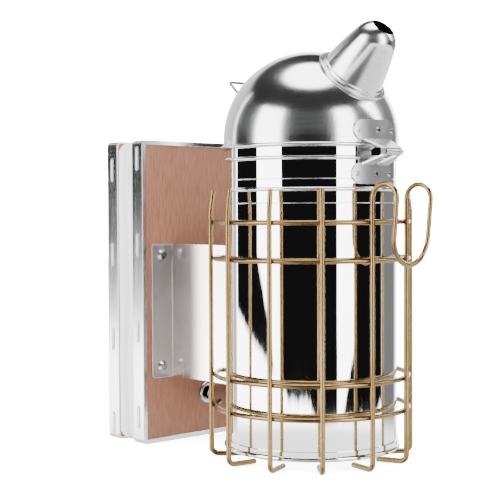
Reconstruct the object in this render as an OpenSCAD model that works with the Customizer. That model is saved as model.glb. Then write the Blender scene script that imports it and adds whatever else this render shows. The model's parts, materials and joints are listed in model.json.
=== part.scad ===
// Bee smoker: a fire pot with a hinged domed lid and spout, a wire cage with a
// hanging hook, and hand bellows carried on a channel bracket.
// Millimetres, +Z up. +X is the front (spout, hinge and hook), -X the bellows.
// The origin is on the resting plane, under the middle of the overall length.

/* [Fire pot] */
// Outside diameter of the fire pot
pot_d = 100; // [80:1:120]
// Height of the pot, from the base flange to the top edge
pot_h = 178; // [145:1:215]
// Thickness of the pot, lid and spout sheet
sheet = 0.8; // [0.5:0.1:1.2]
// Height of the base flange above the resting plane
pot_lift = 6; // [4:0.5:12]
// How far the base flange stands out from the pot
flange_out = 1.8; // [1.2:0.1:3]
// Height of the bottom plate above the base flange
base_recess = 4; // [3:0.5:8]
// Radius of the two rolled beads
bead_r = 1.1; // [0.6:0.1:1.5]

/* [Lid] */
// Radial gap between the pot and the lid
lid_gap = 0.7; // [0.5:0.1:1.5]
// How far the lid reaches down over the pot
lid_overlap = 3.5; // [2:0.5:6]
// Height of the straight collar under the dome
collar_h = 6; // [4:0.5:12]
// Radius of the rolled lip at the collar's lower edge
lip_r = 1.1; // [0.8:0.1:1.5]

/* [Spout] */
// Lean of the spout from the vertical, in degrees
spout_tilt = 43.5; // [35:0.5:55]
// Outside diameter of the spout where it leaves the lid
spout_root_d = 37.4; // [30:0.2:44]
// Length of the spout, from its seam to its mouth
spout_reach = 34.2; // [28:0.2:42]
// Diameter of the spout's mouth
mouth_d = 13; // [9:0.1:16]
// Radius of the curve down the spout's side
spout_side_r = 190; // [100:5:300]
// Radius of the spout's rounded nose
spout_tip_r = 12.8; // [10:0.2:14]

/* [Lift loop] */
// Width of the lift loop
loop_w = 26; // [18:1:32]
// How far the lift loop's legs stand out from the dome
loop_leg = 20; // [14:1:28]
// Wire diameter of the lift loop
loop_wire_d = 1.8; // [1.4:0.1:2.6]

/* [Hinge] */
// Distance of the hinge pin from the pot's wall
hinge_out = 13.1; // [10:0.1:18]
// Depth of the hinge pin below the lid's lower edge
hinge_drop = 3; // [2:0.5:6]
// Length of the hinge's barrel
knuckle_w = 13.6; // [11:0.1:20]
// Length of the middle knuckle, which belongs to the lid
middle_w = 7.6; // [5:0.1:12]
// Outside diameter of the knuckles
knuckle_d = 4.4; // [3.8:0.1:6]
// Diameter of the hinge pin
pin_d = 2.2; // [1.8:0.1:2.6]
// Width of each hinge leaf
leaf_w = 33; // [28:1:40]
// Height of each hinge leaf
leaf_h = 11.6; // [9:0.1:12]
// Thickness of the hinge leaves
leaf_t = 1; // [0.8:0.1:1.4]

/* [Wire cage] */
// Diameter of the cage wire
wire_d = 2.8; // [2:0.1:3.6]
// Clear space between the pot and the hoops
hoop_gap = 5.3; // [4:0.1:9]
// Heights of the two lower hoops above the resting plane
low_hoops = [30.2, 48.8];
// Distances of the two upper hoops below the pot's top edge
high_hoops = [66.8, 45.6];
// Distance of the uprights' tips below the pot's top edge
tip_drop = 27; // [20:1:40]
// Length of the inward feet under the pot
foot_len = 18; // [12:1:22]
// Turn of the hook from the front, in degrees
hook_turn = 4.9; // [0:0.1:8]
// Distance between the hook's two legs
hook_w = 31.9; // [26:0.1:38]
// How far the hook stands out from the cage
hook_reach = 16.5; // [12:0.5:24]
// Height of the hook, from its lowest bend to its arches
hook_h = 44.2; // [36:0.1:60]
// Lean of the hook's outer legs towards the cage, in degrees
hook_lean = 5; // [0:1:7]

/* [Bracket] */
// Distance from the pot's wall to the bellows' front board
bracket_depth = 45.3; // [36:0.1:60]
// Width of the bracket across its two wings
bracket_w = 59; // [48:1:70]
// Height of the bracket
bracket_h = 84; // [60:1:96]
// Gap between the air inlet and the bracket's lower edge
bracket_rise = 1; // [0.6:0.1:14]
// Width of each screwed flange
flange_w = 16; // [12:1:17]
// Corner radius of the flanges
flange_corner_r = 2; // [1:0.5:4]
// Thickness of the bracket sheet
bracket_t = 1; // [0.8:0.1:1.6]

/* [Bellows] */
// Width of the bellows
bellows_w = 105; // [98:1:130]
// Height of the bellows
bellows_h = 189; // [160:1:230]
// Thickness of each board with its edge band
board_t = 10.5; // [8:0.5:14]
// Space between the two boards at rest
board_gap = 15.5; // [14:0.5:30]
// Thickness of the edge band, with the leather clamped under it
band_t = 1.2; // [0.8:0.1:1.6]
// How far the edge band folds over a board's face
band_lip = 2.8; // [1.8:0.1:4]
// Corner radius of the bellows
corner_r = 3; // [2:0.5:8]
// Thickness of the leather
leather_t = 1.4; // [0.8:0.1:2]
// Height of the air hole above the resting plane
air_z = 27.5; // [24:0.5:32]
// Diameter of the hole through the eyelet
eyelet_d = 8.1; // [6:0.1:10]
// Distance from the eyelet to the tip of the air inlet
inlet_gap = 6; // [4:0.5:10]
// Outside diameter of the air inlet at the pot's wall
inlet_root_d = 24; // [18:1:30]
// Outside diameter of the bellows' spring
spring_d = 34; // [24:1:44]
// Wire diameter of the spring
spring_wire_d = 1.8; // [1.2:0.1:2.2]

/* [Grate] */
// Height of the grate above the bottom plate
grate_h = 34; // [30:1:60]
// Radial gap between the grate and the pot's wall
grate_gap = 3; // [1:0.5:6]
// Diameter of the grate's holes
grate_hole_d = 6; // [4:0.5:7]

/* [Hidden] */
$fn = 64;
SMALL = 0.01;
ball_gap = 0.02;

// Pot and lid
pot_r = pot_d / 2;
pot_top = pot_lift + pot_h;
flange_lip_r = 1.4;
base_wall_h = 5.2;
bead_drops = [9.6, 27];
groove_drops = [21.3, 34.8];
groove_r = 0.3;
lip_stand = 0.2;
dome_r = pot_r + lid_gap + sheet;
lip_z = pot_top - lid_overlap;
dome_z = lip_z + collar_h;

// Spout, measured along its axis from the dome's centre
seam_r = spout_root_d / 2;
seam_at = sqrt(dome_r * dome_r - seam_r * seam_r);
mouth_at = seam_at + spout_reach;
// The mouth is cut through the round nose, whose centre is on the axis
tip_centre = [0, mouth_at - sqrt(spout_tip_r * spout_tip_r - mouth_d * mouth_d / 4)];
side_centre = circles_meet([seam_r, seam_at], spout_side_r, tip_centre, spout_side_r - spout_tip_r);
collar_len = 5;
collar_foot = seam_at - collar_len / 2;
collar_bead_r = 0.9;
collar_fit = 0.05;
collar_hole_r = spout_r(collar_foot) + sheet + 2 * collar_fit;

// Lift loop
loop_slope = 41;
loop_bend_r = 2.5;
loop_foot_z = 24.5;
loop_sink = 0.5;
weld = 0.2;

// Hinge
hinge_x = pot_r + hinge_out;
hinge_z = lip_z - hinge_drop;
pin_fit = 0.05;
knuckle_gap = 0.3;
outer_w = (knuckle_w - middle_w) / 2;
upper_leaf_z = lip_z + 9.2;
lower_leaf_z = lip_z - 15;
tongue_root_w = 22;
tongue_split = 2;
leaf_rivet_step = 15;
rivet_r = 1;
rivet_head_r = 1.5;
rivet_head_h = 0.7;
rivet_tail_r = 1.4;
rivet_tail_h = 0.5;
rivet_fit = 0.05;
dome_fit = 0.05;

// Cage
wire_r = wire_d / 2;
hoop_r = pot_r + hoop_gap + wire_r;
upright_r = hoop_r + wire_d - weld;
foot_bend_r = 4;
foot_z = wire_r + ball_gap;
foot_run = foot_len - foot_bend_r;
tip_len = 9;
tip_bend = 8;
tip_bend_r = 40;
hook_half = asin(hook_w / 2 / upright_r);
arch_drop = 24.5;
hoop_heights = concat(low_hoops, [for (drop = high_hoops) pot_top - drop]);
// The hoops end where their ends meet the bracket's wings
hoop_end = 180 - asin(bracket_w / 2 / (hoop_r - wire_r));
// Bearings of the plain uprights from the front, in degrees
upright_bearings = [-132.5, -97.5, -68, -39.5, 52.5, 80.5, 107, 134];

// Bracket and bellows: distances behind the pot's axis
board_face = pot_r + bracket_depth;
band_front = board_face - sheet;
front_back = band_front + board_t;
rear_front = front_back + board_gap;
rear_back = rear_front + board_t;
inlet_tip_r = 4.8;
inlet_root_r = inlet_root_d / 2;
inlet_end = board_face - inlet_gap;
bracket_z = air_z + inlet_root_r + bracket_rise;
front_middle = -(band_front + front_back) / 2;
rear_middle = -(rear_front + rear_back) / 2;
screw_r = 1.9;
screw_head_r = 3.5;
screw_inset = 7;
screw_len = 7;
bracket_rivet_rise = 22;
bracket_rivet_turn = 20;
eyelet_t = 0.6;
eyelet_rim_r = 1.2;
leather_inset = 1.2;
leather_clear = 0.3;
staple_d = 1.1;
staple_len = 13;
staple_leg = 5;
side_staples = 4;
front_staple_first = 16.5;
rear_staple_first = 10;
last_staple_drop = 11.4;
staple_pitch = (bellows_h - front_staple_first - last_staple_drop) / (side_staples - 1);
top_staple_share = 0.42;
top_staple_pitch = bellows_w * top_staple_share;
staple_out = 0.3;
pocket_w = 2.8;
pocket_depth = 0.4;
spring_turns = 3.5;
clip_d = 1;
clip_leg = 5;
clip_bend = 0.8;
clip_slack = 0.4;

// Grate
grate_r = pot_r - sheet - grate_gap;
grate_z = pot_lift + base_recess + sheet;
grate_leg_w = 8;
grate_leg_inset = 4;
grate_t = 1;
grate_pitch = 12;
grate_rings = floor((grate_r - grate_hole_d) / grate_pitch);

// The pot's axis is in front of the middle of the overall length
hook_front = (upright_r * cos(hook_half) + hook_reach) * cos(hook_turn)
    + hook_w / 2 * sin(hook_turn) + wire_r;
pot_x = (rear_back - hook_front) / 2;

STEEL = [0.78, 0.79, 0.8];
BRUSHED = [0.68, 0.68, 0.69];
DARK = [0.35, 0.35, 0.36];
BRASS = [0.72, 0.58, 0.35];
WOOD = [0.68, 0.5, 0.41];
LEATHER = [0.94, 0.93, 0.91];

// The centre of a circle of radius a through p that lies at distance b from q
function circles_meet(p, a, q, b) =
    let (span = norm(q - p), along = (q - p) / span)
    let (x = (span * span + a * a - b * b) / (2 * span))
    let (y = sqrt(a * a - x * x))
    p + x * along + y * [-along[1], along[0]];

// Outside radius of the spout at a distance along its axis
function spout_r(at) = side_centre[0] + sqrt(pow(spout_side_r, 2) - pow(at - side_centre[1], 2));

// How far out a rivet's flat tail sits inside a round wall of radius r
function tail_seat(r) = sqrt(r * r - rivet_tail_r * rivet_tail_r) - SMALL;

// ---- Shared shapes ----

module at_pot() {
    translate([pot_x, 0, 0]) children();
}

// A round wire made of steps [straight length, bend radius, bend angle, roll before the bend].
// Its straight and bent lengths join inside balls a hair wider than the wire.
module wire(d, steps, i = 0) {
    if (i < len(steps)) {
        run = steps[i][0];
        radius = steps[i][1];
        bend = steps[i][2];
        translate([0, 0, ball_gap]) cylinder(d = d, h = run - 2 * ball_gap);
        if (i > 0) sphere(d = d + 2 * ball_gap);
        translate([0, 0, run]) rotate([0, 0, steps[i][3]]) {
            if (bend > 0) {
                sphere(d = d + 2 * ball_gap);
                translate([radius, 0, 0]) rotate([90, 0, 0]) rotate([0, 0, 180 - bend])
                    rotate_extrude(angle = bend) translate([radius, 0]) circle(d = d);
            }
            translate([radius, 0, 0]) rotate([0, bend, 0]) translate([-radius, 0, 0])
                wire(d, steps, i + 1);
        }
    }
}

// A rectangle with round corners, centred
module round_rect(w, h, r) {
    square([w - 2 * r, h], center = true);
    square([w, h - 2 * r], center = true);
    for (x = [-1, 1], y = [-1, 1])
        translate([x * (w / 2 - r), y * (h / 2 - r)]) circle(r);
}

// A flat shape stood up in the plane of a board: its X becomes Y, its Y becomes Z
module stand(x, thickness) {
    translate([x, 0, 0]) rotate([90, 0, 90]) linear_extrude(thickness) children();
}

// A rivet along +X that grips between x = from and x = to
module rivet(from, to) {
    translate([from, 0, 0]) rotate([0, 90, 0]) {
        cylinder(r = rivet_r, h = to - from);
        translate([0, 0, to - from]) cylinder(r1 = rivet_head_r, r2 = rivet_r, h = rivet_head_h);
        translate([0, 0, -rivet_tail_h]) cylinder(r = rivet_tail_r, h = rivet_tail_h);
    }
}

module rivet_hole(length) {
    rotate([0, 90, 0]) cylinder(r = rivet_r + rivet_fit, h = length);
}

module leaf_rivet_places(z) {
    for (turn = [-leaf_rivet_step, 0, leaf_rivet_step])
        rotate([0, 0, turn]) translate([0, 0, z]) children();
}

// ---- Fire pot ----

module pot_wall_section() {
    bottom = pot_lift + 2 * flange_lip_r;
    difference() {
        union() {
            translate([pot_r - sheet, bottom]) square([sheet, pot_top - bottom]);
            for (drop = bead_drops)
                translate([pot_r, pot_top - drop]) circle(bead_r);
        }
        translate([0, bottom]) square([pot_r - sheet, pot_h]);
        for (drop = groove_drops)
            translate([pot_r, pot_top - drop]) circle(groove_r);
    }
}

module inlet_cone(inset, length) {
    rise = (inlet_root_r - inlet_tip_r) / (inlet_end - pot_r);
    translate([-inlet_end, 0, air_z]) rotate([0, 90, 0])
        cylinder(r1 = inlet_tip_r - inset, r2 = inlet_tip_r - inset + rise * length, h = length);
}

module pot_body() {
    color(STEEL) at_pot() difference() {
        rotate_extrude($fn = 128) pot_wall_section();
        inlet_cone(sheet, inlet_end - pot_r + sheet * 4);
        leaf_rivet_places(lower_leaf_z) translate([pot_r - 2 * sheet, 0, 0]) rivet_hole(4);
        bracket_rivet_places() translate([pot_r - 2 * sheet, 0, 0]) rivet_hole(4);
    }
}

module pot_base() {
    color(STEEL) at_pot() translate([0, 0, pot_lift]) rotate_extrude($fn = 128) {
        translate([0, base_recess]) square([pot_r - sheet, sheet]);
        translate([pot_r - 2 * sheet, flange_lip_r]) square([sheet, base_recess - flange_lip_r + SMALL]);
        translate([pot_r - 2 * sheet, flange_lip_r]) square([3 * sheet, flange_lip_r]);
        translate([pot_r + flange_out - flange_lip_r, flange_lip_r]) circle(flange_lip_r);
        translate([pot_r, flange_lip_r]) square([sheet, base_wall_h - flange_lip_r]);
    }
}

module air_inlet() {
    length = inlet_end - pot_r + 12;
    color(STEEL) at_pot() difference() {
        inlet_cone(0, length);
        translate([-SMALL, 0, 0]) inlet_cone(sheet, length + 1);
        cylinder(r = pot_r, h = pot_top, $fn = 128);
    }
}

module fire_grate() {
    color(BRUSHED) at_pot() translate([0, 0, grate_z]) {
        difference() {
            translate([0, 0, grate_h - grate_t]) cylinder(r = grate_r, h = grate_t, $fn = 96);
            cylinder(d = grate_hole_d, h = grate_h + 1);
            for (ring = [1 : grate_rings], i = [0 : 6 * ring - 1])
                rotate([0, 0, i * 60 / ring]) translate([ring * grate_pitch, 0, 0])
                    cylinder(d = grate_hole_d, h = grate_h + 1);
        }
    }
}

module grate_legs() {
    color(BRUSHED) at_pot() translate([0, 0, grate_z]) for (turn = [0, 120, 240])
        rotate([0, 0, turn]) translate([grate_r - grate_leg_inset, -grate_leg_w / 2, 0])
            cube([grate_t, grate_leg_w, grate_h - grate_t]);
}

// ---- Lid ----

// The dome's section about its centre, with the collar below it
module dome_section() {
    difference() {
        union() {
            intersection() {
                circle(dome_r);
                square(dome_r + 1);
            }
            translate([0, -collar_h]) square([dome_r, collar_h]);
            translate([dome_r + lip_r - sheet + lip_stand, -collar_h + lip_r]) circle(lip_r);
        }
        circle(dome_r - sheet);
        translate([0, -collar_h - 1]) square([dome_r - sheet, collar_h + 1]);
    }
}

module at_spout() {
    translate([0, 0, dome_z]) rotate([0, spout_tilt, 0]) children();
}

// The solid half-section of the spout, shrunk by inset
module spout_section(inset, bottom) {
    reach = (tip_centre - side_centre) / norm(tip_centre - side_centre);
    tangent = side_centre + spout_side_r * reach;
    intersection() {
        translate(side_centre) circle(spout_side_r - inset, $fn = 256);
        translate([0, bottom]) square([spout_root_d, tangent[1] - inset * reach[1] - bottom]);
    }
    translate(tip_centre) circle(spout_tip_r - inset);
    translate([0, bottom]) square([mouth_d / 2, mouth_at - inset - bottom]);
}

module lid_dome() {
    color(BRUSHED) at_pot() difference() {
        translate([0, 0, dome_z]) rotate_extrude($fn = 128) dome_section();
        at_spout() cylinder(r = collar_hole_r, h = dome_r + 5);
        leaf_rivet_places(upper_leaf_z) translate([pot_r, 0, 0]) rivet_hole(5);
    }
}

module spout() {
    color(BRUSHED) at_pot() at_spout() rotate_extrude($fn = 96) intersection() {
        difference() {
            spout_section(0, collar_foot);
            spout_section(sheet, collar_foot - 1);
            translate([0, collar_foot - 1]) square([mouth_d / 2, spout_reach * 2]);
        }
        square([spout_root_d, mouth_at + 1]);
    }
}

// A sleeve round the spout's foot, with a bead that seats on the dome and a rolled upper edge
module spout_collar() {
    bead_out = collar_hole_r + collar_bead_r / 2;
    bead_at = sqrt(pow(dome_r + collar_bead_r + dome_fit, 2) - bead_out * bead_out);
    color(STEEL) at_pot() at_spout() rotate_extrude($fn = 96) difference() {
        union() {
            intersection() {
                spout_section(-collar_fit - sheet, collar_foot);
                translate([0, collar_foot]) square([spout_root_d, collar_len]);
            }
            translate([bead_out, bead_at]) circle(collar_bead_r);
            translate([spout_r(collar_foot + collar_len) + sheet / 2, collar_foot + collar_len])
                circle(sheet * 0.7);
        }
        spout_section(-collar_fit, collar_foot - 1);
    }
}

module lift_loop() {
    leg = loop_leg - loop_bend_r;
    crossbar = loop_w - 2 * loop_bend_r;
    foot_x = sqrt(dome_r * dome_r - loop_foot_z * loop_foot_z - loop_w * loop_w / 4) - loop_sink;
    color(DARK) at_pot()
        translate([-foot_x, loop_w / 2, dome_z + loop_foot_z]) rotate([0, loop_slope - 90, 0])
            wire(loop_wire_d, [
                [leg, loop_bend_r, 90, -90],
                [crossbar, loop_bend_r, 90, 0],
                [leg, 0, 0, 0]
            ]);
}

// ---- Hinge ----

// A leaf's plate, wrapped round a wall of radius r about the pot's axis
module leaf_plate(r, z) {
    intersection() {
        difference() {
            translate([0, 0, z - leaf_h]) cylinder(r = r + leaf_t, h = 2 * leaf_h, $fn = 128);
            translate([0, 0, z - leaf_h - 1]) cylinder(r = r, h = 2 * leaf_h + 2, $fn = 128);
        }
        translate([0, 0, z]) stand(0, r + 2 * leaf_t) round_rect(leaf_w, leaf_h, leaf_h / 2 - SMALL);
    }
}

// A flat outline, with its X running from a leaf's edge to the barrel, both given as [x, z]
module tongue(start, end) {
    run = end - start;
    translate([start[0], 0, start[1]]) rotate([0, -atan2(run[1], run[0]), 0])
        translate([0, 0, -leaf_t / 2]) linear_extrude(leaf_t) children();
}

// Half a tongue on one side of the middle, from inner to outer distances at its root and its end
module tongue_half(run, root, end) {
    polygon([[0, root[0]], [run, end[0]], [run, end[1]], [0, root[1]]]);
}

module knuckle(d, from, to) {
    translate([hinge_x, from, hinge_z]) rotate([-90, 0, 0]) cylinder(d = d, h = to - from);
}

module middle_knuckle(d, extra) {
    knuckle(d, -middle_w / 2 - extra, middle_w / 2 + extra);
}

module outer_knuckles(d, extra) {
    for (side = [0, 1]) mirror([0, side, 0])
        knuckle(d, middle_w / 2 - extra, middle_w / 2 + outer_w + extra);
}

module hinge_upper_leaf() {
    root = [dome_r + leaf_t / 2, upper_leaf_z - leaf_h / 2 + leaf_t / 2];
    end = [hinge_x, hinge_z + (knuckle_d - leaf_t) / 2];
    color(BRUSHED) at_pot() difference() {
        union() {
            leaf_plate(dome_r + dome_fit, upper_leaf_z);
            tongue(root, end) for (side = [0, 1]) mirror([0, side])
                tongue_half(norm(end - root), [0, tongue_root_w / 2], [0, knuckle_w / 2]);
            middle_knuckle(knuckle_d, -knuckle_gap / 2);
        }
        translate([0, 0, hinge_z]) cylinder(r = dome_r + dome_fit, h = 3 * leaf_h, $fn = 128);
        outer_knuckles(knuckle_d + 2 * knuckle_gap, knuckle_gap / 2);
        middle_knuckle(pin_d + 2 * pin_fit, 1);
        leaf_rivet_places(upper_leaf_z) translate([pot_r, 0, 0]) rivet_hole(5);
    }
}

module hinge_lower_leaf() {
    root = [pot_r + leaf_t / 2, lower_leaf_z + leaf_h / 2 - leaf_t / 2];
    end = [hinge_x, hinge_z - (knuckle_d - leaf_t) / 2];
    color(BRUSHED) at_pot() difference() {
        union() {
            leaf_plate(pot_r, lower_leaf_z);
            tongue(root, end) for (side = [0, 1]) mirror([0, side]) tongue_half(norm(end - root),
                [tongue_split / 2, tongue_root_w / 2], [middle_w / 2 + knuckle_gap, knuckle_w / 2]);
            outer_knuckles(knuckle_d, -knuckle_gap / 2);
        }
        translate([0, 0, lower_leaf_z]) cylinder(r = pot_r, h = 2 * leaf_h, $fn = 128);
        middle_knuckle(knuckle_d + 2 * knuckle_gap, knuckle_gap / 2);
        knuckle(pin_d + 2 * pin_fit, -knuckle_w, knuckle_w);
        leaf_rivet_places(lower_leaf_z) translate([pot_r - 1, 0, 0]) rivet_hole(5);
    }
}

module hinge_pin() {
    head_h = 0.8;
    head_d = pin_d + 1.2;
    color(DARK) at_pot() {
        knuckle(pin_d, -knuckle_w / 2, knuckle_w / 2);
        for (side = [0, 1]) mirror([0, side, 0]) knuckle(head_d, knuckle_w / 2, knuckle_w / 2 + head_h);
    }
}

module upper_leaf_rivets() {
    inside = sqrt(pow(dome_r - sheet, 2) - pow(upper_leaf_z - dome_z + rivet_tail_r, 2));
    color(STEEL) at_pot() leaf_rivet_places(upper_leaf_z)
        rivet(tail_seat(inside), dome_r + dome_fit + leaf_t);
}

module lower_leaf_rivets() {
    color(STEEL) at_pot() leaf_rivet_places(lower_leaf_z)
        rivet(tail_seat(pot_r - sheet), pot_r + leaf_t);
}

// ---- Wire cage ----

module cage_hoop(z) {
    color(BRASS) at_pot() translate([0, 0, z]) rotate([0, 0, -hoop_end])
        rotate_extrude(angle = 2 * hoop_end, $fn = 128) translate([hoop_r, 0]) circle(d = wire_d);
}

module cage_upright(bearing) {
    tip_z = pot_top - tip_drop;
    rise = tip_z - tip_len - tip_bend_r * sin(tip_bend) - foot_bend_r - foot_z;
    color(BRASS) at_pot() rotate([0, 0, bearing])
        translate([upright_r - foot_len, 0, foot_z]) rotate([0, 90, 0])
            wire(wire_d, [
                [foot_run, foot_bend_r, 90, 180],
                [rise, tip_bend_r, tip_bend, 0],
                [tip_len, 0, 0, 0]
            ]);
}

module cage_hook() {
    arch_r = hook_reach / 2;
    rise = pot_top - arch_drop - arch_r - foot_bend_r - foot_z;
    leg = hook_h - arch_r - hook_w / 2;
    color(BRASS) at_pot() rotate([0, 0, hook_turn + hook_half])
        translate([upright_r - foot_len, 0, foot_z]) rotate([0, 90, 0])
            wire(wire_d, [
                [foot_run, foot_bend_r, 90, 180],
                [rise, arch_r, 180 + hook_lean, 180 - hook_half],
                [leg, hook_w / 2, 180, -90],
                [leg, arch_r, 180 + hook_lean, 90],
                [rise, foot_bend_r, 90, hook_half - 180],
                [foot_run, 0, 0, 0]
            ]);
}

// ---- Bracket ----

module bracket_rivet_places() {
    for (rise = [-1, 1] * bracket_rivet_rise, turn = [-1, 1] * bracket_rivet_turn)
        rotate([0, 0, 180 + turn]) translate([0, 0, bracket_z + bracket_h / 2 + rise]) children();
}

// One point between each flange's two screws, on the board's face
module screw_places() {
    for (side = [-1, 1], z = [bracket_z + screw_inset, bracket_z + bracket_h - screw_inset])
        translate([-board_face, side * (bracket_w + flange_w) / 2, z]) children();
}

module bracket_outline() {
    half = bracket_w / 2;
    wing_end = sqrt(pow(pot_r + bracket_t / 2, 2) - half * half);
    difference() {
        union() {
            intersection() {
                circle(pot_r + bracket_t, $fn = 128);
                translate([-pot_d, -half]) square([pot_d, bracket_w]);
            }
            for (side = [0, 1]) mirror([0, side]) {
                translate([-board_face, half - bracket_t]) square([board_face - wing_end, bracket_t]);
                translate([-board_face, half - bracket_t]) square([bracket_t, flange_w + bracket_t]);
            }
        }
        circle(pot_r, $fn = 128);
    }
}

module bracket() {
    color(STEEL) at_pot() difference() {
        intersection() {
            translate([0, 0, bracket_z]) linear_extrude(bracket_h) bracket_outline();
            translate([0, 0, bracket_z + bracket_h / 2]) stand(-board_face - 1, board_face)
                round_rect(bracket_w + 2 * flange_w, bracket_h, flange_corner_r);
        }
        bracket_rivet_places() translate([pot_r - 1, 0, 0]) rivet_hole(5);
        screw_places() translate([-1, 0, 0]) rotate([0, 90, 0]) cylinder(r = screw_r, h = 5);
    }
}

module bracket_rivets() {
    color(STEEL) at_pot() bracket_rivet_places()
        rivet(tail_seat(pot_r - sheet), pot_r + bracket_t);
}

module bracket_screws() {
    head_h = 1.8;
    slot_w = 0.9;
    slot_l = 4.2;
    slot_depth = 0.9;
    color(STEEL) at_pot() screw_places() rotate([0, 90, 0]) difference() {
        union() {
            translate([0, 0, -screw_len]) cylinder(r = screw_r, h = screw_len + bracket_t);
            translate([0, 0, bracket_t]) cylinder(r1 = screw_head_r, r2 = screw_head_r * 0.7, h = head_h);
        }
        for (turn = [0, 90]) rotate([0, 0, turn])
            translate([-slot_l / 2, -slot_w / 2, bracket_t + head_h - slot_depth])
                cube([slot_l, slot_w, head_h]);
    }
}

// ---- Bellows ----

module at_board_centre() {
    translate([0, 0, bellows_h / 2]) children();
}

module board_panel(x) {
    at_board_centre() stand(x, board_t - sheet)
        round_rect(bellows_w - 2 * band_t, bellows_h - 2 * band_t, corner_r - band_t);
}

// An edge band whose folded lip is on the +X side when lip_side is 1, or the -X side when it is 0
module edge_band(x, lip_side) {
    at_board_centre() difference() {
        stand(x, board_t) round_rect(bellows_w, bellows_h, corner_r);
        stand(x + (1 - lip_side) * sheet - lip_side * SMALL, board_t - sheet + SMALL)
            round_rect(bellows_w - 2 * band_t, bellows_h - 2 * band_t, corner_r - band_t);
        stand(x - 1, board_t + 2)
            square([bellows_w - 2 * band_lip, bellows_h - 2 * band_lip], center = true);
    }
}

// One staple with its crown along +Z, driven towards -Y through the face at y = 0
module staple() {
    bend = 1;
    crown = staple_len - 2 * bend;
    leg_end = staple_leg + bend + staple_d / 2 - staple_out;
    translate([0, -leg_end, -crown / 2 - bend]) rotate([-90, 0, 0])
        wire(staple_d, [[staple_leg, bend, 90, -90], [crown, bend, 90, 0], [staple_leg, 0, 0, 0]]);
}

// The shallow pressed pocket that a staple's crown lies in
module staple_pocket() {
    translate([0, -pocket_depth, 0]) rotate([-90, 0, 0]) linear_extrude(1)
        round_rect(pocket_w, staple_len + pocket_w - staple_d, pocket_w / 2 - SMALL);
}

// Places down each side of a band, and two along its top, for staples and their pockets
module staple_places(x, first) {
    for (side = [0, 1], i = [0 : side_staples - 1])
        mirror([0, side, 0]) translate([x, bellows_w / 2, first + i * staple_pitch]) children();
    for (side = [-1, 1])
        translate([x, side * top_staple_pitch / 2, bellows_h]) rotate([90, 0, 0]) children();
}

module front_board() {
    color(WOOD) at_pot() difference() {
        board_panel(-front_back);
        translate([-front_back - 1, 0, air_z]) rotate([0, 90, 0])
            cylinder(r = eyelet_d / 2 + eyelet_t, h = board_t + 2);
        screw_places() translate([-screw_len, 0, 0]) rotate([0, 90, 0])
            cylinder(r = screw_r, h = screw_len + 1);
    }
}

module front_band() {
    color(STEEL) at_pot() difference() {
        edge_band(-front_back, 1);
        staple_places(front_middle, front_staple_first) staple_pocket();
    }
}

module front_staples() {
    color(DARK) at_pot() staple_places(front_middle, front_staple_first) staple();
}

module air_eyelet() {
    barrel = eyelet_d / 2;
    thickness = board_t - sheet;
    color(STEEL) at_pot() translate([-front_back, 0, air_z]) rotate([0, 90, 0]) rotate_extrude() {
        translate([barrel, -eyelet_t]) square([eyelet_t, thickness + 2 * eyelet_t]);
        for (z = [-eyelet_t, thickness])
            translate([barrel, z]) square([eyelet_t + 2 * eyelet_rim_r, eyelet_t]);
        intersection() {
            translate([barrel + eyelet_t / 2 + eyelet_rim_r, thickness]) circle(eyelet_rim_r);
            translate([0, thickness]) square([3 * barrel, eyelet_rim_r]);
        }
    }
}

module rear_board() {
    color(WOOD) at_pot() board_panel(-rear_back + sheet);
}

module rear_band() {
    color(STEEL) at_pot() difference() {
        edge_band(-rear_back, 0);
        staple_places(rear_middle, rear_staple_first) staple_pocket();
    }
}

module rear_staples() {
    color(DARK) at_pot() staple_places(rear_middle, rear_staple_first) staple();
}

module bellows_leather() {
    w = bellows_w - 2 * leather_inset;
    h = bellows_h - 2 * leather_inset;
    color(LEATHER) at_pot() at_board_centre()
        stand(-rear_front + leather_clear, board_gap - 2 * leather_clear) difference() {
            round_rect(w, h, corner_r);
            round_rect(w - 2 * leather_t, h - 2 * leather_t, corner_r - leather_t);
        }
}

// A coil spring along +X from x = 0 to x = length
module coil_spring(d, wire_d, length, turns) {
    sides = 8;
    steps_per_turn = 24;
    rings = floor(turns * steps_per_turn);
    climb = length - wire_d;
    points = [
        for (i = [0 : rings], j = [0 : sides - 1])
            let (a = 360 * i / steps_per_turn, b = 360 * j / sides)
            let (r = d / 2 - wire_d / 2 + wire_d / 2 * cos(b))
            [wire_d / 2 + climb * i / rings + wire_d / 2 * sin(b), r * cos(a), r * sin(a)]
    ];
    walls = [
        for (i = [0 : rings - 1], j = [0 : sides - 1])
            let (k = (j + 1) % sides)
            [i * sides + j, i * sides + k, (i + 1) * sides + k, (i + 1) * sides + j]
    ];
    ends = [[for (j = [sides - 1 : -1 : 0]) j], [for (j = [0 : sides - 1]) rings * sides + j]];
    polyhedron(points, concat(walls, ends));
}

module bellows_spring() {
    color(DARK) at_pot() translate([-rear_front + SMALL, 0, bellows_h / 2])
        coil_spring(spring_d, spring_wire_d, board_gap - 2 * SMALL, spring_turns);
}

// A clip over the spring's end coil at a bearing round the spring, driven towards -X
module spring_clip(bearing) {
    half = spring_wire_d / 2 + clip_d;
    leg = clip_leg + spring_wire_d + clip_slack + clip_d / 2 - clip_bend;
    at_board_centre() rotate([bearing, 0, 0])
        translate([-clip_leg, spring_d / 2 - spring_wire_d / 2 - half, 0]) rotate([0, 90, 0])
            wire(clip_d, [
                [leg, clip_bend, 90, 90],
                [2 * half - 2 * clip_bend, clip_bend, 90, 0],
                [leg, 0, 0, 0]
            ]);
}

module spring_clips_rear() {
    color(DARK) at_pot() translate([-rear_front, 0, 0]) for (bearing = [8, 20]) spring_clip(bearing);
}

module spring_clips_front() {
    color(DARK) at_pot() translate([-front_back, 0, 0]) mirror([1, 0, 0])
        for (bearing = [160, 172]) spring_clip(bearing);
}

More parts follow.
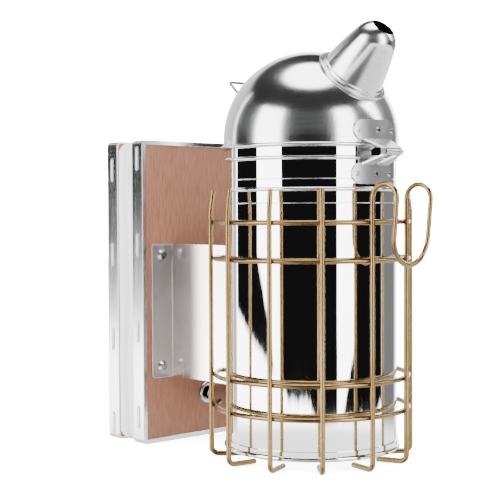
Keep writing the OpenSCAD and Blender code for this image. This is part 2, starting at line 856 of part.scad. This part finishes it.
pot_body();
pot_base();
air_inlet();
fire_grate();
grate_legs();
lid_dome();
spout();
spout_collar();
lift_loop();
hinge_upper_leaf();
hinge_lower_leaf();
hinge_pin();
upper_leaf_rivets();
lower_leaf_rivets();
for (i = [0 : len(hoop_heights) - 1])
    cage_hoop(hoop_heights[i]);
for (i = [0 : len(upright_bearings) - 1])
    cage_upright(upright_bearings[i]);
cage_hook();
bracket();
bracket_rivets();
bracket_screws();
front_board();
front_band();
front_staples();
air_eyelet();
rear_board();
rear_band();
rear_staples();
bellows_leather();
bellows_spring();
spring_clips_front();
spring_clips_rear();
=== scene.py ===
import json
import math

import bmesh
import bpy
from mathutils import Matrix, Vector


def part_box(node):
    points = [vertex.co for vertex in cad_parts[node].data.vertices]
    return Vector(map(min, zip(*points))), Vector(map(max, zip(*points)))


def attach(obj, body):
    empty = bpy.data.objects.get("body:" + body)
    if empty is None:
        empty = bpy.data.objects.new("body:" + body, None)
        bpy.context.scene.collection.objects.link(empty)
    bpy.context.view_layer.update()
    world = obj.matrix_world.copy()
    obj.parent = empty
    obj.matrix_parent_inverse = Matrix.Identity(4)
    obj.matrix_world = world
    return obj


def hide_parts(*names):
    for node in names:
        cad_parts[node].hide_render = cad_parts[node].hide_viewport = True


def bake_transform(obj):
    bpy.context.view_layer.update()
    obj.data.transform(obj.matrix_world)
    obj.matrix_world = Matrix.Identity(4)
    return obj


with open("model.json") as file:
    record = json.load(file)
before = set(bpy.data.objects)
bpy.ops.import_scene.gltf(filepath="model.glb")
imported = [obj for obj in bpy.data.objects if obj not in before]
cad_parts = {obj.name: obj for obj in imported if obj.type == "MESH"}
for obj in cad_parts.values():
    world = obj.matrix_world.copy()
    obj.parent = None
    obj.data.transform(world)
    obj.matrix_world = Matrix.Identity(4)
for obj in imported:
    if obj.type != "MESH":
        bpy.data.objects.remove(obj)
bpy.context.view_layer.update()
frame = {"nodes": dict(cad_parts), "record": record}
nodes = frame["nodes"]


# ---- Places, from the frame ----

def middle(node):
    low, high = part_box(node)
    return (Vector(low) + Vector(high)) / 2


COLLAR_HEIGHT = 0.006
POT_X = middle("pot_body").x
DOME_CENTRE = (POT_X, 0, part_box("lid_dome")[0][2] + COLLAR_HEIGHT)
SPOUT_AXIS = next(m["axis"] for m in frame["record"]["mounts"] if m["name"] == "spout_outlet")
SPOUT_TILT = math.atan2(SPOUT_AXIS[0], SPOUT_AXIS[2])


# ---- Node helpers ----

def new_material(name):
    mat = bpy.data.materials.new(name)
    mat.use_nodes = True
    tree = mat.node_tree
    return mat, tree, tree.nodes["Principled BSDF"]


def object_coords(tree, scale=(1, 1, 1), centre=(0, 0, 0)):
    """The piece's own place in metres, moved so that centre is at zero, then scaled."""
    coords = tree.nodes.new("ShaderNodeTexCoord")
    mapping = tree.nodes.new("ShaderNodeMapping")
    mapping.inputs["Location"].default_value = [-c * s for c, s in zip(centre, scale)]
    mapping.inputs["Scale"].default_value = scale
    tree.links.new(coords.outputs["Object"], mapping.inputs["Vector"])
    return mapping.outputs["Vector"]


def noise(tree, vector, scale, detail=2.0, roughness=0.5):
    node = tree.nodes.new("ShaderNodeTexNoise")
    node.inputs["Scale"].default_value = scale
    node.inputs["Detail"].default_value = detail
    node.inputs["Roughness"].default_value = roughness
    tree.links.new(vector, node.inputs["Vector"])
    return node.outputs["Fac"]


def ramp(tree, value, stops):
    """A colour ramp of (position, colour or grey) stops."""
    node = tree.nodes.new("ShaderNodeValToRGB")
    elements = node.color_ramp.elements
    while len(elements) < len(stops):
        elements.new(0.5)
    for element, (position, colour) in zip(elements, stops):
        element.position = position
        if not isinstance(colour, (tuple, list)):
            colour = (colour, colour, colour)
        element.color = (*colour, 1)
    tree.links.new(value, node.inputs["Fac"])
    return node.outputs["Color"]


def spread(tree, value, low, high):
    """value from 0..1 spread over low..high."""
    node = tree.nodes.new("ShaderNodeMapRange")
    node.inputs["To Min"].default_value = low
    node.inputs["To Max"].default_value = high
    tree.links.new(value, node.inputs["Value"])
    return node.outputs["Result"]


def bump(tree, height, shader, distance, strength=1.0):
    node = tree.nodes.new("ShaderNodeBump")
    node.inputs["Strength"].default_value = strength
    node.inputs["Distance"].default_value = distance
    tree.links.new(height, node.inputs["Height"])
    tree.links.new(node.outputs["Normal"], shader.inputs["Normal"])


# ---- Materials ----

def polished_steel():
    """Mirror-bright sheet with faint smears and hair scratches."""
    mat, tree, shader = new_material("polished_steel")
    where = object_coords(tree)
    smear = noise(tree, where, 60, 3)
    scratch = noise(tree, object_coords(tree, (900, 900, 14)), 1.0, 2)
    tree.links.new(ramp(tree, smear, [(0.3, (0.86, 0.865, 0.875)), (0.7, (0.93, 0.93, 0.935))]),
                   shader.inputs["Base Color"])
    tree.links.new(spread(tree, smear, 0.012, 0.035), shader.inputs["Roughness"])
    shader.inputs["Metallic"].default_value = 1.0
    bump(tree, scratch, shader, 0.000004)
    return mat


def spun_steel(name, centre, tilt=0.0, roughness=(0.12, 0.18)):
    """Sheet brushed in rings round an axis: fine rings in colour and bump, a cloudy roughness, and a
    stretched highlight.
    """
    mat, tree, shader = new_material(name)
    coords = tree.nodes.new("ShaderNodeTexCoord")
    turn = tree.nodes.new("ShaderNodeMapping")
    turn.vector_type = "TEXTURE"
    turn.inputs["Location"].default_value = centre
    turn.inputs["Rotation"].default_value = (0, tilt, 0)
    tree.links.new(coords.outputs["Object"], turn.inputs["Vector"])
    split = tree.nodes.new("ShaderNodeSeparateXYZ")
    tree.links.new(turn.outputs["Vector"], split.inputs["Vector"])
    angle = tree.nodes.new("ShaderNodeMath")
    angle.operation = "ARCTAN2"
    tree.links.new(split.outputs["Y"], angle.inputs[0])
    tree.links.new(split.outputs["X"], angle.inputs[1])
    join = tree.nodes.new("ShaderNodeCombineXYZ")
    slow = tree.nodes.new("ShaderNodeMath")
    slow.operation = "MULTIPLY"
    slow.inputs[1].default_value = 1.5
    tree.links.new(angle.outputs[0], slow.inputs[0])
    fine = tree.nodes.new("ShaderNodeMath")
    fine.operation = "MULTIPLY"
    fine.inputs[1].default_value = 2600
    tree.links.new(split.outputs["Z"], fine.inputs[0])
    tree.links.new(slow.outputs[0], join.inputs["X"])
    tree.links.new(fine.outputs[0], join.inputs["Y"])
    rings = noise(tree, join.outputs["Vector"], 1.0, 3, 0.65)
    cloud = noise(tree, turn.outputs["Vector"], 45, 2)
    tree.links.new(ramp(tree, rings, [(0.3, (0.66, 0.665, 0.675)), (0.7, (0.86, 0.86, 0.865))]),
                   shader.inputs["Base Color"])
    tree.links.new(spread(tree, cloud, *roughness), shader.inputs["Roughness"])
    shader.inputs["Metallic"].default_value = 1.0
    shader.inputs["Anisotropic"].default_value = 0.6
    bump(tree, rings, shader, 0.000012, 0.5)
    return mat


def satin_steel():
    """Stamped hinge leaves."""
    mat, tree, shader = new_material("satin_steel")
    where = object_coords(tree)
    grain = noise(tree, object_coords(tree, (300, 300, 2500)), 1.0, 3, 0.6)
    cloud = noise(tree, where, 90, 3)
    tree.links.new(ramp(tree, cloud, [(0.3, (0.5, 0.5, 0.51)), (0.7, (0.66, 0.66, 0.67))]),
                   shader.inputs["Base Color"])
    tree.links.new(spread(tree, grain, 0.24, 0.4), shader.inputs["Roughness"])
    shader.inputs["Metallic"].default_value = 1.0
    bump(tree, grain, shader, 0.00001, 0.6)
    return mat


def bracket_steel():
    """Bright rolled sheet: streaks up and down, softer than the pot."""
    mat, tree, shader = new_material("bracket_steel")
    streaks = noise(tree, object_coords(tree, (900, 900, 9)), 1.0, 3, 0.6)
    cloud = noise(tree, object_coords(tree), 30, 2)
    tree.links.new(ramp(tree, cloud, [(0.3, (0.74, 0.69, 0.67)), (0.7, (0.82, 0.78, 0.76))]),
                   shader.inputs["Base Color"])
    tree.links.new(spread(tree, streaks, 0.2, 0.3), shader.inputs["Roughness"])
    shader.inputs["Metallic"].default_value = 1.0
    bump(tree, streaks, shader, 0.00001, 0.4)
    return mat


def band_steel():
    """Edge bands: bright tinned strip, a little soft, with rolling marks along it."""
    mat, tree, shader = new_material("band_steel")
    marks = noise(tree, object_coords(tree, (700, 700, 20)), 1.0, 3, 0.6)
    cloud = noise(tree, object_coords(tree), 45, 3)
    tree.links.new(ramp(tree, cloud, [(0.3, (0.78, 0.785, 0.79)), (0.7, (0.88, 0.88, 0.885))]),
                   shader.inputs["Base Color"])
    tree.links.new(spread(tree, marks, 0.12, 0.24), shader.inputs["Roughness"])
    shader.inputs["Metallic"].default_value = 1.0
    bump(tree, marks, shader, 0.000012, 0.5)
    return mat


def bright_rivets():
    """Rivet heads, screw heads, staples and the eyelet: bright, smoother than the leaves."""
    mat, tree, shader = new_material("bright_rivets")
    cloud = noise(tree, object_coords(tree), 400, 3)
    tree.links.new(ramp(tree, cloud, [(0.3, (0.62, 0.62, 0.63)), (0.7, (0.8, 0.8, 0.81))]),
                   shader.inputs["Base Color"])
    tree.links.new(spread(tree, cloud, 0.1, 0.2), shader.inputs["Roughness"])
    shader.inputs["Metallic"].default_value = 1.0
    bump(tree, cloud, shader, 0.00001, 0.4)
    return mat


def dark_wire():
    mat, tree, shader = new_material("dark_wire")
    cloud = noise(tree, object_coords(tree), 220, 3)
    tree.links.new(ramp(tree, cloud, [(0.3, (0.1, 0.1, 0.105)), (0.7, (0.24, 0.24, 0.25))]),
                   shader.inputs["Base Color"])
    tree.links.new(spread(tree, cloud, 0.25, 0.42), shader.inputs["Roughness"])
    shader.inputs["Metallic"].default_value = 1.0
    bump(tree, cloud, shader, 0.00002, 0.5)
    return mat


def dull_steel():
    """The grate: plain sheet, dulled by heat."""
    mat, tree, shader = new_material("dull_steel")
    cloud = noise(tree, object_coords(tree), 70, 4)
    tree.links.new(ramp(tree, cloud, [(0.35, (0.3, 0.29, 0.28)), (0.65, (0.45, 0.45, 0.46))]),
                   shader.inputs["Base Color"])
    tree.links.new(spread(tree, cloud, 0.35, 0.55), shader.inputs["Roughness"])
    shader.inputs["Metallic"].default_value = 1.0
    return mat


def brass_wire():
    """Brass-plated drawn wire: draw lines along it and slight colour changes."""
    mat, tree, shader = new_material("brass_wire")
    cloud = noise(tree, object_coords(tree), 25, 3)
    fine = noise(tree, object_coords(tree, (1600, 1600, 60)), 1.0, 2)
    tree.links.new(
        ramp(tree, cloud, [
            (0.3, (0.22, 0.135, 0.045)), (0.55, (0.3, 0.19, 0.07)), (0.75, (0.34, 0.225, 0.09))]),
        shader.inputs["Base Color"])
    tree.links.new(spread(tree, cloud, 0.22, 0.3), shader.inputs["Roughness"])
    shader.inputs["Metallic"].default_value = 1.0
    bump(tree, fine, shader, 0.000006, 0.4)
    return mat


def board_wood():
    """Smooth copper-brown laminate with fine upright grain."""
    mat, tree, shader = new_material("board_wood")
    grain = noise(tree, object_coords(tree, (1500, 1500, 110)), 1.0, 4, 0.6)
    pores = noise(tree, object_coords(tree, (2600, 2600, 260)), 1.0, 2, 0.5)
    cloud = noise(tree, object_coords(tree, (1, 1, 0.3)), 30, 3)
    mix = tree.nodes.new("ShaderNodeMix")
    mix.data_type = "RGBA"
    mix.blend_type = "MULTIPLY"
    mix.inputs["Factor"].default_value = 0.5
    tree.links.new(
        ramp(tree, grain, [
            (0.3, (0.25, 0.1, 0.05)), (0.5, (0.36, 0.155, 0.085)), (0.72, (0.43, 0.2, 0.12))]),
        mix.inputs["A"])
    tree.links.new(ramp(tree, cloud, [(0.3, 0.84), (0.7, 1.0)]), mix.inputs["B"])
    tree.links.new(mix.outputs["Result"], shader.inputs["Base Color"])
    tree.links.new(spread(tree, pores, 0.42, 0.6), shader.inputs["Roughness"])
    bump(tree, pores, shader, 0.00005, 0.5)
    return mat


def white_leather():
    mat, tree, shader = new_material("white_leather")
    where = object_coords(tree)
    cells = tree.nodes.new("ShaderNodeTexVoronoi")
    cells.feature = "DISTANCE_TO_EDGE"
    cells.inputs["Scale"].default_value = 900
    tree.links.new(where, cells.inputs["Vector"])
    creases = noise(tree, where, 160, 4, 0.6)
    cloud = noise(tree, where, 40, 3)
    tree.links.new(ramp(tree, cloud, [(0.3, (0.8, 0.79, 0.77)), (0.7, (0.9, 0.895, 0.885))]),
                   shader.inputs["Base Color"])
    tree.links.new(spread(tree, creases, 0.45, 0.62), shader.inputs["Roughness"])
    shader.inputs["Sheen Weight"].default_value = 0.15
    height = tree.nodes.new("ShaderNodeMath")
    height.operation = "MULTIPLY_ADD"
    height.inputs[1].default_value = 0.5
    tree.links.new(cells.outputs["Distance"], height.inputs[0])
    tree.links.new(creases, height.inputs[2])
    bump(tree, height.outputs[0], shader, 0.0002, 0.6)
    return mat


POLISHED = polished_steel()
SATIN = satin_steel()
BRACKET = bracket_steel()
BAND = band_steel()
BRIGHT = bright_rivets()
DARK = dark_wire()
DULL = dull_steel()
BRASS = brass_wire()
WOOD = board_wood()
LEATHER = white_leather()
DOME = spun_steel("spun_dome", DOME_CENTRE)
SPOUT = spun_steel("spun_spout", DOME_CENTRE, SPOUT_TILT, (0.17, 0.23))

BY_NODE = {
    "pot_body": POLISHED, "pot_base": POLISHED, "air_inlet": BRIGHT, "fire_grate": DULL, "grate_legs": DULL,
    "lid_dome": DOME, "spout": SPOUT, "spout_collar": SPOUT, "lift_loop": DARK,
    "hinge_upper_leaf": SATIN, "hinge_lower_leaf": SATIN, "hinge_pin": DARK,
    "upper_leaf_rivets": BRIGHT, "lower_leaf_rivets": BRIGHT,
    "bracket": BRACKET, "bracket_rivets": BRIGHT, "bracket_screws": BRIGHT,
    "front_board": WOOD, "front_band": BAND, "front_staples": BRIGHT, "air_eyelet": BRIGHT,
    "rear_board": WOOD, "rear_band": BAND, "rear_staples": BRIGHT,
    "bellows_leather": LEATHER, "bellows_spring": DARK,
    "spring_clips_front": DARK, "spring_clips_rear": DARK,
}


def finish_of(name):
    return BRASS if name.startswith("cage_") else BY_NODE[name]


for name, node in nodes.items():
    node.data.materials.clear()
    node.data.materials.append(finish_of(name))


# ---- Folded sheet: the CAD pieces with their sharp edges rounded ----

def add_piece(name, shape, replaced):
    """A new object from a bmesh, in place of CAD nodes."""
    mesh = bpy.data.meshes.new(name)
    shape.to_mesh(mesh)
    shape.free()
    piece = bpy.data.objects.new(name, mesh)
    bpy.context.scene.collection.objects.link(piece)
    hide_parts(*replaced)
    return piece


def apply_modifiers(piece):
    bpy.context.view_layer.update()
    ready = piece.evaluated_get(bpy.context.evaluated_depsgraph_get())
    mesh = bpy.data.meshes.new_from_object(ready)
    old = piece.data
    piece.modifiers.clear()
    piece.data = mesh
    bpy.data.meshes.remove(old)


def soften(name, body, radius):
    """A copy of a CAD piece with its sharp edges rounded, in the piece's place."""
    shape = bmesh.new()
    shape.from_mesh(nodes[name].data)
    bmesh.ops.remove_doubles(shape, verts=shape.verts, dist=0.000002)
    bmesh.ops.dissolve_limit(shape, angle_limit=math.radians(0.2), verts=shape.verts, edges=shape.edges)
    for face in shape.faces:
        face.smooth = True
    piece = add_piece(name + "_folded", shape, [name])
    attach(piece, body)
    piece.data.materials.clear()
    piece.data.materials.append(finish_of(name))
    if "custom_normal" in piece.data.attributes:
        piece.data.attributes.remove(piece.data.attributes["custom_normal"])
    bevel = piece.modifiers.new("edge", "BEVEL")
    bevel.width = radius
    bevel.segments = 3
    bevel.limit_method = "ANGLE"
    bevel.angle_limit = math.radians(50)
    bevel.use_clamp_overlap = False
    bevel.harden_normals = True
    weigh = piece.modifiers.new("flat", "WEIGHTED_NORMAL")
    weigh.keep_sharp = True
    apply_modifiers(piece)


BAND_FOLD = 0.00018
BRACKET_FOLD = 0.0003
soften("front_band", "pot", BAND_FOLD)
soften("rear_band", "rear_panel", BAND_FOLD)
soften("bracket", "pot", BRACKET_FOLD)


# ---- Leather, folded between the boards ----

def rounded_path(width, height, radius, steps):
    """Even steps (y, z, outward y, outward z, way round) round a rounded rectangle, and its length."""
    straight_w, straight_h = width - 2 * radius, height - 2 * radius
    arc = math.pi / 2 * radius
    lengths = [straight_h, arc, straight_w, arc] * 2
    total = sum(lengths)
    corners = [(1, 1), (-1, 1), (-1, -1), (1, -1)]
    points = []
    for i in range(steps):
        s = total * i / steps
        side = 0
        while s > lengths[side]:
            s -= lengths[side]
            side += 1
        turn = (side // 2) * math.pi / 2
        cy, cz = corners[side // 2]
        cy, cz = cy * straight_w / 2, cz * straight_h / 2
        out = turn + (s / radius if side % 2 else 0)
        y, z = cy + radius * math.cos(out), cz + radius * math.sin(out)
        if side % 2 == 0:
            y += math.sin(turn) * (lengths[side] - s)
            z -= math.cos(turn) * (lengths[side] - s)
        points.append((y, z, math.cos(out), math.sin(out), total * i / steps))
    return points, total


def wave(s, total, *turns):
    """A smooth uneven wave round the ring, from -1 to 1."""
    return sum(math.sin(2 * math.pi * n * s / total + n * n) for n in turns) / len(turns)


def bump_at(value, middle_value, width):
    """A round bump, 1 at the middle and fading over width."""
    return math.exp(-((value - middle_value) / width) ** 4)


LEATHER_THICK = 0.0013
LEATHER_CORNER = 0.006


def make_leather():
    """The ring of leather, creased inwards along its middle, with uneven folds and one pleat."""
    low, high = (Vector(v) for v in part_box("bellows_leather"))
    centre = (low + high) / 2
    width, height = high.y - low.y - LEATHER_THICK, high.z - low.z - LEATHER_THICK
    path, total = rounded_path(width, height, LEATHER_CORNER, 560)
    across = 28
    shape = bmesh.new()
    rows = []
    for y, z, out_y, out_z, s in path:
        row = []
        lean = wave(s, total, 3, 5, 7)
        fold = 0.0032 + 0.0008 * wave(s, total, 4, 9, 13)
        puff = 0.0011 + 0.0005 * wave(s, total, 6, 11)
        pleat = 0.0016 * bump_at(z, height * 0.4, 0.016)
        for j in range(across + 1):
            t = j / across
            crease = math.exp(-((t - 0.5 - 0.1 * lean) / 0.13) ** 2)
            swell = math.sin(math.pi * t) ** 0.5 if 0 < t < 1 else 0
            ripple = 0.00018 * wave(s, total, 31, 47, 83) * math.sin(math.pi * t)
            flap = pleat * swell * bump_at(t, 0.72, 0.14)
            offset = puff * swell - fold * crease * swell + ripple + flap
            x = low.x + (high.x - low.x) * t
            row.append(shape.verts.new((x, y + out_y * offset, centre.z + z + out_z * offset)))
        rows.append(row)
    for i, row in enumerate(rows):
        following = rows[(i + 1) % len(rows)]
        for j in range(across):
            shape.faces.new((row[j], row[j + 1], following[j + 1], following[j]))
    for face in shape.faces:
        face.smooth = True
    bmesh.ops.recalc_face_normals(shape, faces=shape.faces)
    piece = add_piece("leather_gusset", shape, ["bellows_leather"])
    solid = piece.modifiers.new("thickness", "SOLIDIFY")
    solid.thickness = LEATHER_THICK
    solid.offset = 0
    apply_modifiers(piece)
    piece.data.materials.append(LEATHER)
    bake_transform(piece)


def make_spring():
    """A coil with the CAD's size."""
    low, high = (Vector(v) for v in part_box("bellows_spring"))
    wire_r = 0.0009
    turns, steps, sides = 3.5, 40, 12
    radius = (high.z - low.z) / 2 - wire_r
    shape = bmesh.new()
    rings = []
    count = int(turns * steps)
    for i in range(count + 1):
        a = 2 * math.pi * i / steps
        ring = []
        for j in range(sides):
            b = 2 * math.pi * j / sides
            r = radius + wire_r * math.cos(b)
            x = low.x + wire_r + (high.x - low.x - 2 * wire_r) * i / count + wire_r * math.sin(b)
            ring.append(shape.verts.new((x, r * math.cos(a), (low.z + high.z) / 2 + r * math.sin(a))))
        rings.append(ring)
    for first, second in zip(rings, rings[1:]):
        for j in range(sides):
            k = (j + 1) % sides
            shape.faces.new((first[j], first[k], second[k], second[j]))
    shape.faces.new(rings[0][::-1])
    shape.faces.new(rings[-1])
    for face in shape.faces:
        face.smooth = True
    bmesh.ops.recalc_face_normals(shape, faces=shape.faces)
    piece = add_piece("spring_coil", shape, ["bellows_spring"])
    piece.data.materials.append(DARK)
    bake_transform(piece)


make_leather()
make_spring()


# ---- Camera, on the photograph's side ----

CAMERA_PLACE = (POT_X + 0.5104, -0.5150, 0.1454)
CAMERA_HEADING = (-0.7385, 0.6743)
CAMERA_PITCH = math.radians(1.86)
CAMERA_ROLL = -0.0043


def make_camera():
    data = bpy.data.cameras.new("camera")
    data.lens = 88.35
    data.sensor_width = 36
    camera = bpy.data.objects.new("camera", data)
    bpy.context.scene.collection.objects.link(camera)
    bpy.context.scene.camera = camera
    level = math.cos(CAMERA_PITCH)
    forward = Vector((CAMERA_HEADING[0] * level, CAMERA_HEADING[1] * level, -math.sin(CAMERA_PITCH)))
    turn = forward.to_track_quat("-Z", "Y").to_matrix().to_4x4() @ Matrix.Rotation(CAMERA_ROLL, 4, "Z")
    camera.matrix_world = Matrix.Translation(CAMERA_PLACE) @ turn
    data.dof.use_dof = False
    data.clip_start = 0.05
    data.clip_end = 20


make_camera()


# ---- Studio: a white room with dark panels, seen only in reflections ----

def math_node(tree, operation, *values):
    node = tree.nodes.new("ShaderNodeMath")
    node.operation = operation
    for socket, value in zip(node.inputs, values):
        if isinstance(value, (int, float)):
            socket.default_value = value
        else:
            tree.links.new(value, socket)
    return node.outputs[0]


def mix_colours(tree, factor, first, second):
    node = tree.nodes.new("ShaderNodeMix")
    node.data_type = "RGBA"
    tree.links.new(factor, node.inputs["Factor"])
    for name, colour in (("A", first), ("B", second)):
        if isinstance(colour, tuple):
            node.inputs[name].default_value = colour
        else:
            tree.links.new(colour, node.inputs[name])
    return node.outputs["Result"]


def stretched(tree, vector, scale):
    node = tree.nodes.new("ShaderNodeMapping")
    node.inputs["Scale"].default_value = scale
    tree.links.new(vector, node.inputs["Vector"])
    return node.outputs["Vector"]


def spread_from(tree, value, low, high):
    """value from low..high spread over 0..1."""
    node = tree.nodes.new("ShaderNodeMapRange")
    node.inputs["From Min"].default_value = low
    node.inputs["From Max"].default_value = high
    tree.links.new(value, node.inputs["Value"])
    return node.outputs["Result"]


def polygon_mask(tree, across, along, corners):
    """1 inside a convex polygon whose corners run anticlockwise, with an edge one unit wide."""
    mask = None
    for (x0, y0), (x1, y1) in zip(corners, corners[1:] + corners[:1]):
        length = math.hypot(x1 - x0, y1 - y0)
        side_x, side_y = -(y1 - y0) / length, (x1 - x0) / length
        offset = 0.5 - side_x * x0 - side_y * y0
        inside = math_node(tree, "MULTIPLY_ADD", across, side_x,
                           math_node(tree, "MULTIPLY_ADD", along, side_y, offset))
        mask = inside if mask is None else math_node(tree, "MINIMUM", mask, inside)
    return math_node(tree, "MAXIMUM", math_node(tree, "MINIMUM", mask, 1.0), 0.0)


def make_world():
    world = bpy.data.worlds.new("studio")
    bpy.context.scene.world = world
    world.use_nodes = True
    tree = world.node_tree
    tree.nodes.clear()
    output = tree.nodes.new("ShaderNodeOutputWorld")
    coords = tree.nodes.new("ShaderNodeTexCoord")
    split = tree.nodes.new("ShaderNodeSeparateXYZ")
    tree.links.new(coords.outputs["Generated"], split.inputs["Vector"])
    angle = tree.nodes.new("ShaderNodeMath")
    angle.operation = "ARCTAN2"
    tree.links.new(split.outputs["Y"], angle.inputs[0])
    tree.links.new(split.outputs["X"], angle.inputs[1])
    around = tree.nodes.new("ShaderNodeMapRange")
    around.inputs["From Min"].default_value = -math.pi
    around.inputs["From Max"].default_value = math.pi
    tree.links.new(angle.outputs[0], around.inputs["Value"])

    bearing = spread(tree, around.outputs["Result"], -180, 180)
    torn = noise(tree, stretched(tree, coords.outputs["Generated"], (14, 14, 1.5)), 1.0, 3, 0.6)
    rise = math_node(tree, "MULTIPLY_ADD", torn, 1.6, math_node(
        tree, "MULTIPLY_ADD", split.outputs["Z"], 100, -0.8))
    height = spread_from(tree, split.outputs["Z"], -1, 1)

    # Bearings in degrees; heights as 100 times the sine of the elevation
    panels = [
        [(-163, 101), (-163, -8.1), (-122, -11.2), (-122, 101)],
        [(-150, -5), (-163, -8.1), (-97, -13.1), (-99, -10.8), (-122, -3.7)],
        [(-85, 101), (-85, -14.4), (-76, -15.6), (-11, -15.6), (-11, 101)],
        [(-50, -14), (-45, -16.4), (-38, -17.4), (-11, -17.2), (-11, -14)],
        [(15, 101), (15, -16.9), (50, -16.9), (64, -15), (72, -8), (62, 10), (62, 101)],
        [(16, -10), (-4, -16.9), (16, -16.9)],
    ]
    dark = polygon_mask(tree, bearing, rise, panels[0])
    for panel in panels[1:]:
        dark = math_node(tree, "MAXIMUM", dark, polygon_mask(tree, bearing, rise, panel))
    walls = ramp(tree, around.outputs["Result"], [
        (0.0, 1.2), (0.035, 0.8), (0.045, 9.0), (0.665, 9.0), (0.675, 0.24), (0.785, 0.24), (0.795, 7.0),
        (0.87, 6.0), (0.92, 1.8), (1.0, 1.2)])
    walls = mix_colours(tree, dark, walls, ramp(tree, height, [(0.53, 0.008), (0.6, 0.09)]))
    # The table below, the dark upper corner of the room, and the soft box overhead
    table = ramp(tree, height, [(0.2, 1.6), (0.42, 2.6)])
    shade = polygon_mask(tree, bearing, rise, [(-75, -34), (-75, -101), (-28, -101), (-28, -34)])
    table = mix_colours(tree, shade, table, (0.14, 0.14, 0.14, 1))
    is_wall = ramp(tree, height, [(0.41, 0.0), (0.418, 1.0)])
    low_part = mix_colours(tree, is_wall, table, walls)
    top = ramp(tree, height, [(0.8, 0.035), (0.952, 0.035), (0.966, 8.0)])
    is_top = ramp(tree, height, [(0.765, 0.0), (0.8, 1.0)])
    room = mix_colours(tree, is_top, low_part, top)
    mirrored = background(tree, room, 1.0)
    soft_light = background(tree, None, 1.3)
    backdrop = background(tree, None, 30.0)
    path = tree.nodes.new("ShaderNodeLightPath")
    by_diffuse = tree.nodes.new("ShaderNodeMixShader")
    tree.links.new(path.outputs["Is Diffuse Ray"], by_diffuse.inputs["Fac"])
    tree.links.new(mirrored, by_diffuse.inputs[1])
    tree.links.new(soft_light, by_diffuse.inputs[2])
    by_camera = tree.nodes.new("ShaderNodeMixShader")
    tree.links.new(path.outputs["Is Camera Ray"], by_camera.inputs["Fac"])
    tree.links.new(by_diffuse.outputs["Shader"], by_camera.inputs[1])
    tree.links.new(backdrop, by_camera.inputs[2])
    tree.links.new(by_camera.outputs["Shader"], output.inputs["Surface"])


def background(tree, colour, strength):
    node = tree.nodes.new("ShaderNodeBackground")
    node.inputs["Color"].default_value = (1, 1, 1, 1)
    node.inputs["Strength"].default_value = strength
    if colour is not None:
        tree.links.new(colour, node.inputs["Color"])
    return node.outputs["Background"]


def area_light(name, place, target, size, power, colour=(1, 1, 1)):
    data = bpy.data.lights.new(name, "AREA")
    data.shape = "RECTANGLE"
    data.size, data.size_y = size
    data.energy = power
    data.color = colour
    light = bpy.data.objects.new(name, data)
    light.location = place
    light.rotation_mode = "QUATERNION"
    light.rotation_quaternion = (Vector(target) - Vector(place)).to_track_quat("-Z", "Y")
    light.visible_glossy = False
    bpy.context.scene.collection.objects.link(light)
    return light


def make_floor():
    """A floor as white as the room behind it, which shows only the shadows on it."""
    mesh = bpy.data.meshes.new("floor")
    shape = bmesh.new()
    bmesh.ops.create_circle(shape, cap_ends=True, segments=96, radius=3)
    shape.to_mesh(mesh)
    shape.free()
    floor = bpy.data.objects.new("floor", mesh)
    floor.location = (0, 0, -0.0003)
    bpy.context.scene.collection.objects.link(floor)
    mat, _, shader = new_material("pale_floor")
    shader.inputs["Base Color"].default_value = (0.93, 0.93, 0.93, 1)
    shader.inputs["Roughness"].default_value = 0.8
    mesh.materials.append(mat)
    floor.visible_glossy = False
    floor.is_shadow_catcher = True


make_world()
make_floor()
area_light("side", (-0.7, -1.1, 0.35), (-0.08, 0, 0.1), (0.6, 0.6), 20)
area_light("top", (0.3, -0.3, 1.3), (0, 0, 0.1), (0.9, 0.9), 8)

# A card that lights only the bracket's side
card = area_light("bracket_card", (-0.42, -0.36, 0.1), (-0.04, -0.03, 0.085), (0.2, 0.5), 3)
card.visible_glossy = True
lit = bpy.data.collections.new("lit_by_the_card")
lit.objects.link(bpy.data.objects["bracket_folded"])
card.light_linking.receiver_collection = lit
